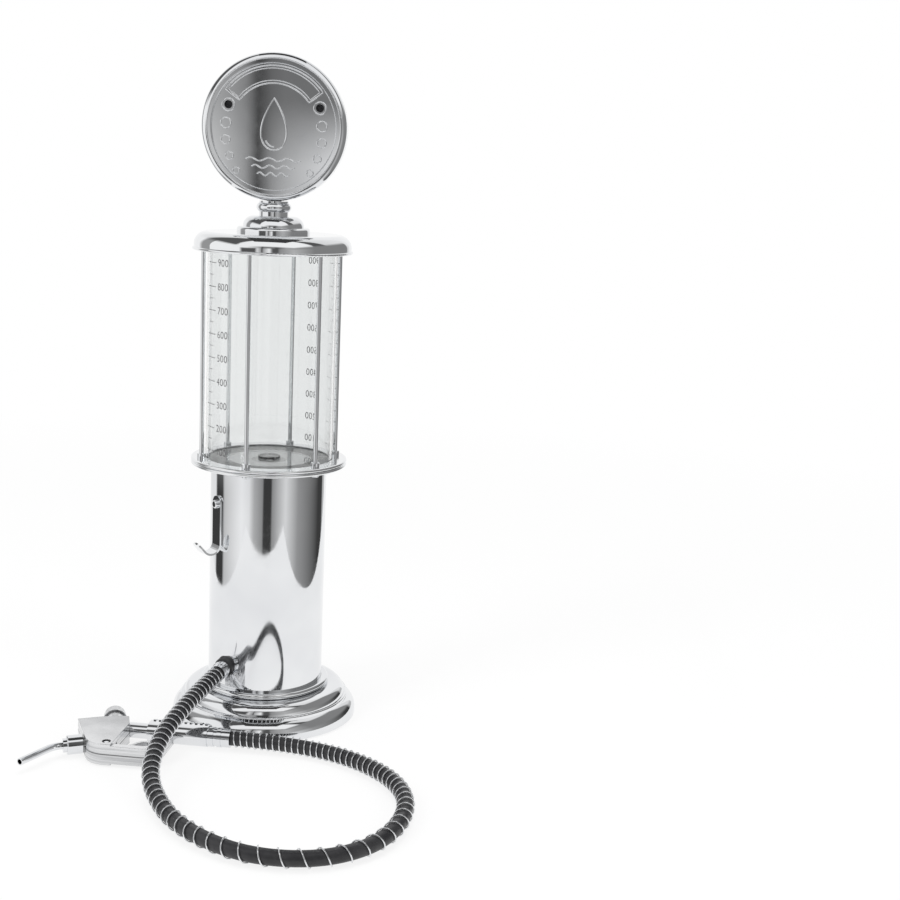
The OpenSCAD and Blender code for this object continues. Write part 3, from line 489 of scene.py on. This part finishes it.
# Radius, end turns and middle of the glint in the drop
GLINT_R, GLINT_START, GLINT_END, GLINT_POINTS, GLINT_X, GLINT_Z = 6.4, 200, 268, 14, 0.6, -7.0
# Half width and place of the first wave, with the steps from one wave to the next
WAVES, WAVE_HALF, WAVE_SHRINK, WAVE_Z, WAVE_DROP = 3, 19.0, 4.0, -22.0, 5.0
WAVE_H, WAVE_POINTS, POINTS_PER_WAVE = 1.1, 48, 16


def on_face(x, z, lift=0.0):
    """Point of the face, or above it by a lift."""
    return Vector((x * MM, FACE_Y - lift * MM, SIGN_Z + z * MM))


def raised(points, width, height, closed=False, base=0.0):
    """Low rounded ridge along points of the face, given in its own plane."""
    n = len(points)
    rings, out = [], []
    for i, (x, z) in enumerate(points):
        if closed:
            a, b = points[i - 1], points[(i + 1) % n]
        else:
            a, b = points[max(i - 1, 0)], points[min(i + 1, n - 1)]
        dx, dz = b[0] - a[0], b[1] - a[1]
        size = math.hypot(dx, dz) or 1.0
        nx, nz = -dz / size, dx / size
        for k in range(RIDGE_POINTS):
            g = math.pi * k / (RIDGE_POINTS - 1)
            across, lift = width / 2 * math.cos(g), base + height * math.sin(g) - RIDGE_SUNK
            rings.append(on_face(x + nx * across, z + nz * across, lift))
    m = RIDGE_POINTS
    for i in range(n if closed else n - 1):
        j = (i + 1) % n
        for k in range(m - 1):
            out.append((m * i + k, m * j + k, m * j + k + 1, m * i + k + 1))
    if not closed:
        out.append(tuple(range(m)))
        out.append(tuple(reversed(range(m * (n - 1), m * n))))
    return rings, out


def ring_line(cx, cz, r, count=40):
    turns_round = [2 * math.pi * i / count for i in range(count)]
    return [(cx + r * math.cos(a), cz + r * math.sin(a)) for a in turns_round]


def arc_line(r, a0, a1, count=28, cx=0.0, cz=0.0):
    turns_along = [math.radians(a0 + (a1 - a0) * i / count) for i in range(count + 1)]
    return [(cx + r * math.cos(a), cz + r * math.sin(a)) for a in turns_along]


def add_sign_relief():
    verts, faces = [], []

    def add(points, width=LINE_W, height=LINE_H, closed=False, base=0.0):
        v, f = raised(points, width, height, closed, base)
        first = len(verts)
        verts.extend(v)
        faces.extend(tuple(first + i for i in q) for q in f)

    # fine rings beside the rim and on it, and a bare arched band with a double outline
    for r, width, height, lift in FINE_RINGS:
        add(ring_line(0, 0, r, RIM_POINTS), width, height, True, lift)
    for outer, inner, start, end, width, height in BAND_LINES:
        add(arc_line(outer, start, end) + arc_line(inner, end, start), width, height, True)
    # rings that shrink downwards and a ring round the screw, on both sides
    for side in (-1, 1):
        for x, z, r in SIDE_RINGS:
            add(ring_line(side * x, z, r), SIDE_RING_W, SIDE_RING_H, True)
    # a large drop with a glint, over three waves
    drop = []
    for i in range(DROP_POINTS):
        a = 2 * math.pi * i / DROP_POINTS
        drop.append((DROP_HALF_W * math.sin(a) * math.sin(a / 2), DROP_Z + DROP_HALF_H * math.cos(a)))
    add(drop, closed=True)
    add(arc_line(GLINT_R, GLINT_START, GLINT_END, GLINT_POINTS, GLINT_X, GLINT_Z))
    for k in range(WAVES):
        half, level = WAVE_HALF - WAVE_SHRINK * k, WAVE_Z - WAVE_DROP * k
        wave = []
        for i in range(WAVE_POINTS + 1):
            swing = WAVE_H * math.sin(2 * math.pi * i / POINTS_PER_WAVE)
            wave.append((-half + 2 * half * i / WAVE_POINTS, level + swing))
        add(wave)
    new_piece("sign_relief", verts, faces, looks["chrome"], "lid")


# Flat dark crosses on the screws' heads as painted shade for their cross recesses, and a flat dark ring
# round the trigger's pin, in millimetres
HOOK_TURN, HOOK_SCREW_R, HOOK_SCREW_Z = math.radians(-51), 45.42, 163.0
ROD_R, ROD_TURN, ROD_HEAD_Z = 48.9, math.radians(-12), 186.8
ROD_COUNT = 6
PIN_AT, PIN_RING, RING_POINTS = (-92.82, -110.50, 15.2), (1.5, 2.85), 32
CROSS_ARM, CROSS_HALF, DRIVE_LIFT = 1.35, 0.32, 0.03


def add_drives():
    verts, faces = [], []

    def flat(centre, axis, points):
        side = axis.orthogonal().normalized()
        up = axis.cross(side)
        base = len(verts)
        verts.extend((centre + axis * DRIVE_LIFT + x * side + y * up) * MM for x, y in points)
        return base

    # painted shade: a flat dark cross on the head stands in for the shade inside its cross recess
    def cross(centre, axis):
        a, b = CROSS_ARM, CROSS_HALF
        outline = ((b, a), (-b, a), (-b, b), (-a, b), (-a, -b), (-b, -b),
                   (-b, -a), (b, -a), (b, -b), (a, -b), (a, b), (b, b))
        base = flat(centre, axis, outline)
        faces.append(tuple(range(base, base + len(outline))))

    out = Vector((math.sin(HOOK_TURN), -math.cos(HOOK_TURN), 0))
    cross(out * HOOK_SCREW_R + UP * HOOK_SCREW_Z, out)
    for k in range(ROD_COUNT):
        a = ROD_TURN + math.radians(360 / ROD_COUNT * k)
        cross(Vector((ROD_R * math.sin(a), -ROD_R * math.cos(a), ROD_HEAD_Z)), -UP)
    n = RING_POINTS
    circle = [(math.cos(2 * math.pi * k / n), math.sin(2 * math.pi * k / n)) for k in range(n)]
    base = flat(Vector(PIN_AT), UP, [(r * x, r * y) for r in PIN_RING for x, y in circle])
    faces.extend((base + k, base + (k + 1) % n, base + n + (k + 1) % n, base + n + k) for k in range(n))
    new_piece("screw_drives", verts, faces, looks["dark_screw"], "stand", smooth=False)


# Studio: pale floor, walls and a ceiling that only reflections see, soft lamps; sizes in metres
FLOOR_HALF, FLOOR_DROP = 6.0, 0.0002
WALL_HALF, WALL_FRONT, WALL_BACK, WALL_TOP = 0.38, -0.52, 0.66, 1.5
CEILING_HALF, CEILING_FRONT, CEILING_BACK, CEILING_GLOW = 1.4, -1.0, 0.4, 0.05
WORLD_SEEN, WORLD_LIGHT = 1.0, 0.55
# Share of plain white in the floor as it is seen, from near the object to far away
FLOOR_NEAR, FLOOR_FAR, WHITE_NEAR, WHITE_FAR = 0.35, 1.3, 0.84, 1.0
LAMP_AIM = (0, 0, 0.25)
# Name, place, aim, size and power of each lamp
LAMPS = (
    ("key_left", (-1.5, -1.5, 1.5), LAMP_AIM, (0.8, 1.2), 22),
    ("fill_right", (1.7, -1.1, 1.2), LAMP_AIM, (0.6, 1.2), 12),
    ("top", (0.1, -0.1, 2.0), (0, 0, 0.2), (1.2, 1.0), 18),
)


def stage_piece(name, verts, faces, mat):
    mesh = bpy.data.meshes.new(name)
    mesh.from_pydata(verts, [], faces)
    mesh.materials.append(mat)
    obj = bpy.data.objects.new(name, mesh)
    scene.collection.objects.link(obj)
    return obj


def seen(tree):
    """1 for rays of the camera, reflections and glass, 0 for the rest."""
    path = tree.nodes.new("ShaderNodeLightPath")
    total = path.outputs["Is Camera Ray"]
    for kind in ("Is Glossy Ray", "Is Transmission Ray"):
        most = tree.nodes.new("ShaderNodeMath")
        most.operation = "MAXIMUM"
        tree.links.new(total, most.inputs[0])
        tree.links.new(path.outputs[kind], most.inputs[1])
        total = most.outputs[0]
    return total


def make_floor():
    mat = bpy.data.materials.new("floor_white")
    mat.use_nodes = True
    tree = mat.node_tree
    n, link = tree.nodes, tree.links.new
    surface = n["Principled BSDF"]
    surface.inputs["Base Color"].default_value = (0.86, 0.86, 0.86, 1)
    surface.inputs["Roughness"].default_value = 0.7
    glow = n.new("ShaderNodeEmission")
    where = n.new("ShaderNodeNewGeometry")
    far = n.new("ShaderNodeVectorMath")
    far.operation = "LENGTH"
    share = n.new("ShaderNodeMapRange")
    share.inputs["From Min"].default_value = FLOOR_NEAR
    share.inputs["From Max"].default_value = FLOOR_FAR
    share.inputs["To Min"].default_value = WHITE_NEAR
    share.inputs["To Max"].default_value = WHITE_FAR
    part = n.new("ShaderNodeMath")
    part.operation = "MULTIPLY"
    mix = n.new("ShaderNodeMixShader")
    link(where.outputs["Position"], far.inputs[0])
    link(far.outputs["Value"], share.inputs["Value"])
    link(seen(tree), part.inputs[0])
    link(share.outputs["Result"], part.inputs[1])
    link(part.outputs[0], mix.inputs["Fac"])
    link(surface.outputs[0], mix.inputs[1])
    link(glow.outputs[0], mix.inputs[2])
    link(mix.outputs[0], n["Material Output"].inputs["Surface"])
    return mat


def ramp(tree, value, stops):
    """Grey shade between stops, each a place and a shade."""
    r = tree.nodes.new("ShaderNodeValToRGB")
    e = r.color_ramp.elements
    while len(e) < len(stops):
        e.new(0.5)
    for slot, (at, shade) in zip(e, sorted(stops)):
        slot.position = at
        slot.color = (shade, shade, shade, 1)
    tree.links.new(value, r.inputs["Fac"])
    return r.outputs["Color"]


def turns(stops):
    """Stops given by their turn from the front, towards the right, as shares of a circle."""
    return [((az / 360 + 0.25) % 1.0, shade) for az, shade in stops]


# Plain panels on the walls: each stop is a turn from the front, towards the right, and a shade.
# The column mirrors the low ones, the sign the high and top ones, and the cap the crown.
LOW_WALL = ((-179, 0.9), (-115, 0.9), (-110, 0.05), (-90, 0.05), (-85, 0.6), (-45, 1.0), (-30, 0.9),
            (-20, 0.5), (-4, 0.3), (-2, 0.05), (12, 0.05), (14, 0.3), (40, 0.8), (65, 0.35),
            (120, 0.05), (135, 0.05), (140, 0.5), (179, 0.9))
HIGH_WALL = ((-179, 1.0), (-120, 1.0), (-110, 0.35), (-95, 0.35), (-70, 1.0), (-40, 1.0), (-37, 0.1),
             (-18, 0.1), (-15, 0.8), (-10, 0.4), (-8.5, 0.05), (-6.5, 0.4), (2, 1.0), (5, 0.2),
             (7, 0.1), (13, 0.1), (16, 0.3), (35, 0.5), (65, 0.25), (138, 0.25), (142, 0.8), (179, 1.0))
TOP_WALL = ((-179, 1.0), (-120, 1.0), (-110, 0.35), (-95, 0.35), (-70, 1.0), (-30, 1.0), (-15, 0.5),
            (-10, 0.3), (-8.5, 0.05), (-6.5, 0.2), (8, 0.2), (10, 0.1), (13, 0.1), (25, 0.4),
            (65, 0.25), (138, 0.25), (142, 0.9), (179, 1.0))
CROWN_WALL = ((-179, 1.0), (-125, 0.9), (-110, 0.1), (-50, 0.1), (-45, 1.0), (65, 1.0), (70, 0.1),
              (90, 0.1), (95, 0.8), (179, 1.0))
# Heights between which one set of panels turns into the next
WALL_STEPS = ((HIGH_WALL, 0.09, 0.17), (TOP_WALL, 0.40, 0.465), (CROWN_WALL, 0.52, 0.62))


def make_walls():
    mat = bpy.data.materials.new("studio_walls")
    mat.use_nodes = True
    tree = mat.node_tree
    n, link = tree.nodes, tree.links.new
    n.remove(n["Principled BSDF"])
    place = n.new("ShaderNodeTexCoord").outputs["Object"]
    around = n.new("ShaderNodeTexGradient")
    around.gradient_type = "RADIAL"
    link(place, around.inputs["Vector"])
    split = n.new("ShaderNodeSeparateXYZ")
    link(place, split.inputs["Vector"])
    shade = ramp(tree, around.outputs["Fac"], turns(LOW_WALL))
    for stops, start, end in WALL_STEPS:
        rise = n.new("ShaderNodeMapRange")
        rise.inputs["From Min"].default_value = start
        rise.inputs["From Max"].default_value = end
        link(split.outputs["Z"], rise.inputs["Value"])
        both = n.new("ShaderNodeMix")
        both.data_type = "RGBA"
        link(rise.outputs["Result"], both.inputs["Factor"])
        link(shade, both.inputs[COLOUR_A])
        link(ramp(tree, around.outputs["Fac"], turns(stops)), both.inputs[COLOUR_B])
        shade = both.outputs[COLOUR_OUT]
    glow = n.new("ShaderNodeEmission")
    link(shade, glow.inputs["Color"])
    link(glow.outputs[0], n["Material Output"].inputs["Surface"])
    return mat


def make_ceiling():
    mat = bpy.data.materials.new("studio_ceiling")
    mat.use_nodes = True
    n = mat.node_tree.nodes
    n.remove(n["Principled BSDF"])
    glow = n.new("ShaderNodeEmission")
    glow.inputs["Strength"].default_value = CEILING_GLOW
    mat.node_tree.links.new(glow.outputs[0], n["Material Output"].inputs["Surface"])
    return mat


def only_reflected(obj):
    obj.visible_camera = False
    obj.visible_transmission = False
    obj.visible_shadow = False
    obj.visible_diffuse = False


def add_lamp(name, place, aim, size, power):
    data = bpy.data.lights.new(name, "AREA")
    data.shape = "RECTANGLE"
    data.size, data.size_y = size
    data.energy = power
    obj = bpy.data.objects.new(name, data)
    obj.location = place
    obj.rotation_euler = (Vector(aim) - Vector(place)).to_track_quat("-Z", "Y").to_euler()
    obj.visible_glossy = False
    scene.collection.objects.link(obj)


def rectangle(x, y0, y1, z):
    return [(-x, y0, z), (x, y0, z), (x, y1, z), (-x, y1, z)]


def add_studio():
    quad = [(0, 1, 2, 3)]
    floor = stage_piece("floor", rectangle(FLOOR_HALF, -FLOOR_HALF, FLOOR_HALF, 0), quad, make_floor())
    floor.location.z = -FLOOR_DROP

    corners = [(-WALL_HALF, WALL_BACK), (-WALL_HALF, WALL_FRONT),
               (WALL_HALF, WALL_FRONT), (WALL_HALF, WALL_BACK)]
    verts = [(x, y, z) for x, y in corners for z in (0, WALL_TOP)]
    walls = stage_piece("studio_walls", verts, [(0, 2, 3, 1), (2, 4, 5, 3), (4, 6, 7, 5)], make_walls())
    only_reflected(walls)
    above = rectangle(CEILING_HALF, CEILING_FRONT, CEILING_BACK, WALL_TOP)
    only_reflected(stage_piece("studio_ceiling", above, quad, make_ceiling()))

    world = bpy.data.worlds.new("studio")
    scene.world = world
    world.use_nodes = True
    tree = world.node_tree
    tree.nodes["Background"].inputs["Color"].default_value = (1, 1, 1, 1)
    span = tree.nodes.new("ShaderNodeMapRange")
    span.inputs["To Min"].default_value = WORLD_LIGHT
    span.inputs["To Max"].default_value = WORLD_SEEN
    tree.links.new(seen(tree), span.inputs["Value"])
    tree.links.new(span.outputs["Result"], tree.nodes["Background"].inputs["Strength"])

    for lamp in LAMPS:
        add_lamp(*lamp)
    scene.view_settings.view_transform = "Standard"


# Edges of the solids that are sharper than this stay crisp
SHARP_ANGLE = math.radians(32)


def dress_solids():
    slots = {q["node"]: q["material_slot"] for q in frame["record"]["subparts"]}
    for name, obj in nodes.items():
        obj.data.materials.clear()
        obj.data.materials.append(own_looks.get(name) or looks[slots[name]])
        obj.data.polygons.foreach_set("use_smooth", [True] * len(obj.data.polygons))
        obj.data.set_sharp_from_angle(angle=SHARP_ANGLE)


def press_spring():
    """Gives the valve's spring a mesh of its own."""
    spring = nodes["valve_spring"]
    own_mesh(spring)


add_camera()
add_hose()
dress_solids()
press_spring()
add_scale()
add_sign_relief()
add_drives()
add_studio()
